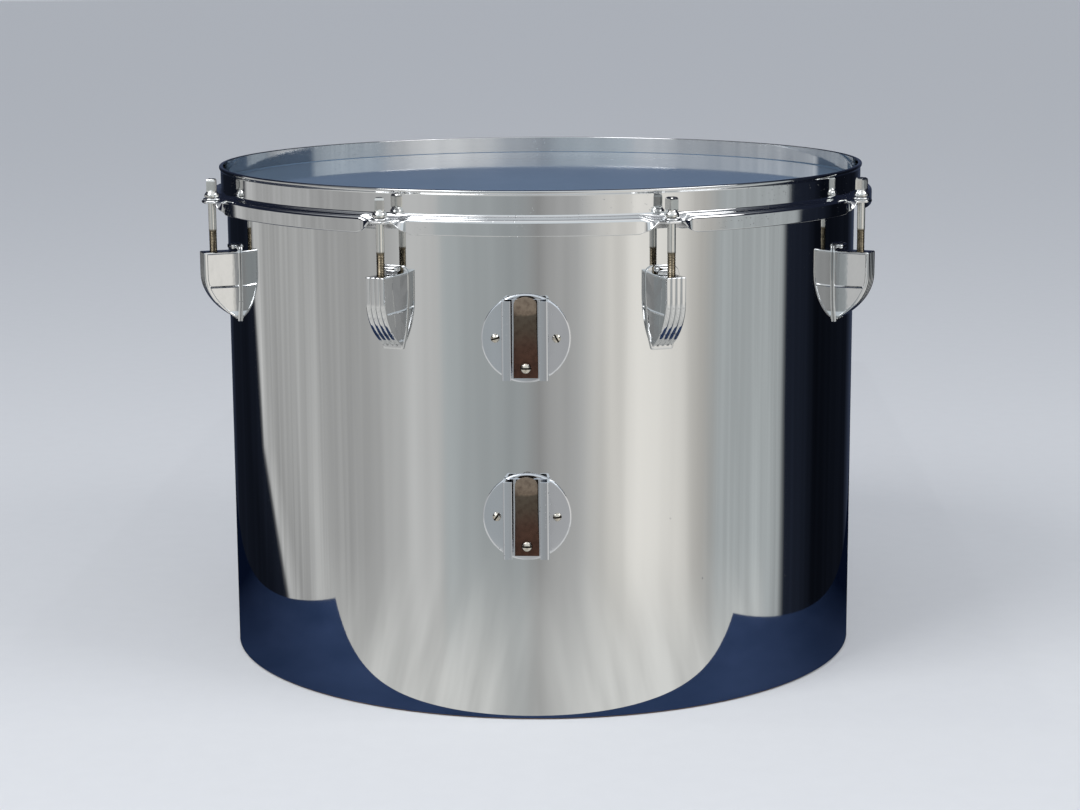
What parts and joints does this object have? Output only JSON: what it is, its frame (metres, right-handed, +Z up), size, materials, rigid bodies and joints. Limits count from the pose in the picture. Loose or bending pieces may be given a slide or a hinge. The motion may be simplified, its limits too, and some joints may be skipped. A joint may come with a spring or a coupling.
{
  "type": "concert tom drum",
  "caption": "Single-headed chrome-wrapped concert tom with triple-flanged hoop, fluted lugs, tension rods and carrier brackets.",
  "frame": {"origin": "middle of the shell's bottom edge, on the surface it stands on", "axes": "+Z up along the drum's axis to the head; -Y towards the carrier brackets; +X completes the frame"},
  "size_m": [0.4814, 0.4837, 0.3527],
  "materials": {
    "chrome": "polished, lightly pitted",
    "chrome_wrap": "mirror polished sheet",
    "wood": "bare plywood",
    "film": "smooth semi-gloss film",
    "aluminium": "satin",
    "brass": "satin",
    "oxidised_brass": "tarnished brown",
    "nickel": "worn plating",
    "rod_chrome": "plated, tarnished on the thread"
  },
  "bodies": {
    "drum": {"shell": "wood", "chrome_wrap": "chrome_wrap", "drumhead_film": "film", "flesh_hoop": "aluminium", "lug_1": "chrome", "swivel_nut_1": "brass", "lug_screw_1": "nickel", "lug_2": "chrome", "swivel_nut_2": "brass", "lug_screw_2": "nickel", "lug_3": "chrome", "swivel_nut_3": "brass", "lug_screw_3": "nickel", "lug_4": "chrome", "swivel_nut_4": "brass", "lug_screw_4": "nickel", "lug_5": "chrome", "swivel_nut_5": "brass", "lug_screw_5": "nickel", "lug_6": "chrome", "swivel_nut_6": "brass", "lug_screw_6": "nickel", "lug_7": "chrome", "swivel_nut_7": "brass", "lug_screw_7": "nickel", "lug_8": "chrome", "swivel_nut_8": "brass", "lug_screw_8": "nickel", "upper_bracket": "chrome", "upper_leaf_screw": "nickel", "upper_left_screw": "nickel", "upper_left_nut": "nickel", "upper_right_screw": "nickel", "upper_right_nut": "nickel", "lower_bracket": "chrome", "lower_leaf_screw": "nickel", "lower_left_screw": "nickel", "lower_left_nut": "nickel", "lower_right_screw": "nickel", "lower_right_nut": "nickel"},
    "hoop": {"hoop": "chrome", "washer_1": "chrome", "washer_2": "chrome", "washer_3": "chrome", "washer_4": "chrome", "washer_5": "chrome", "washer_6": "chrome", "washer_7": "chrome", "washer_8": "chrome"},
    "rod_1": {"tension_rod_1": "rod_chrome"},
    "rod_2": {"tension_rod_2": "rod_chrome"},
    "rod_3": {"tension_rod_3": "rod_chrome"},
    "rod_4": {"tension_rod_4": "rod_chrome"},
    "rod_5": {"tension_rod_5": "rod_chrome"},
    "rod_6": {"tension_rod_6": "rod_chrome"},
    "rod_7": {"tension_rod_7": "rod_chrome"},
    "rod_8": {"tension_rod_8": "rod_chrome"},
    "upper_spring": {"upper_leaf_spring": "oxidised_brass"},
    "lower_spring": {"lower_leaf_spring": "oxidised_brass"}
  },
  "joints": [
    {"name": "hoop_lift", "type": "slide", "parent": "drum", "child": "hoop", "axis": [0, 0, 1], "range_m": [0, 0.0127]},
    {"name": "rod_1_turn", "type": "hinge", "parent": "hoop", "child": "rod_1", "pos_m": [0.09368, -0.22617, 0.333], "axis": [0, 0, 1], "range_deg": [0, 4330]},
    {"name": "rod_2_turn", "type": "hinge", "parent": "hoop", "child": "rod_2", "pos_m": [0.22617, -0.09368, 0.333], "axis": [0, 0, 1], "range_deg": [0, 4330]},
    {"name": "rod_3_turn", "type": "hinge", "parent": "hoop", "child": "rod_3", "pos_m": [0.22617, 0.09368, 0.333], "axis": [0, 0, 1], "range_deg": [0, 4330]},
    {"name": "rod_4_turn", "type": "hinge", "parent": "hoop", "child": "rod_4", "pos_m": [0.09368, 0.22617, 0.333], "axis": [0, 0, 1], "range_deg": [0, 4330]},
    {"name": "rod_5_turn", "type": "hinge", "parent": "hoop", "child": "rod_5", "pos_m": [-0.09368, 0.22617, 0.333], "axis": [0, 0, 1], "range_deg": [0, 4330]},
    {"name": "rod_6_turn", "type": "hinge", "parent": "hoop", "child": "rod_6", "pos_m": [-0.22617, 0.09368, 0.333], "axis": [0, 0, 1], "range_deg": [0, 4330]},
    {"name": "rod_7_turn", "type": "hinge", "parent": "hoop", "child": "rod_7", "pos_m": [-0.22617, -0.09368, 0.333], "axis": [0, 0, 1], "range_deg": [0, 4330]},
    {"name": "rod_8_turn", "type": "hinge", "parent": "hoop", "child": "rod_8", "pos_m": [-0.09368, -0.22617, 0.333], "axis": [0, 0, 1], "range_deg": [0, 4330]},
    {"name": "upper_spring_flex", "type": "hinge", "parent": "drum", "child": "upper_spring", "pos_m": [0, -0.2325, 0.2381], "axis": [-1, 0, 0], "range_deg": [0, 4], "stiffness_Nm_per_rad": 1.2},
    {"name": "lower_spring_flex", "type": "hinge", "parent": "drum", "child": "lower_spring", "pos_m": [0, -0.2325, 0.1199], "axis": [-1, 0, 0], "range_deg": [0, 4], "stiffness_Nm_per_rad": 1.2}
  ],
  "couplings": [
    {"joint": "rod_1_turn", "follows": "hoop_lift", "rad_per_m": 5938.7},
    {"joint": "rod_2_turn", "follows": "hoop_lift", "rad_per_m": 5938.7},
    {"joint": "rod_3_turn", "follows": "hoop_lift", "rad_per_m": 5938.7},
    {"joint": "rod_4_turn", "follows": "hoop_lift", "rad_per_m": 5938.7},
    {"joint": "rod_5_turn", "follows": "hoop_lift", "rad_per_m": 5938.7},
    {"joint": "rod_6_turn", "follows": "hoop_lift", "rad_per_m": 5938.7},
    {"joint": "rod_7_turn", "follows": "hoop_lift", "rad_per_m": 5938.7},
    {"joint": "rod_8_turn", "follows": "hoop_lift", "rad_per_m": 5938.7}
  ]
}
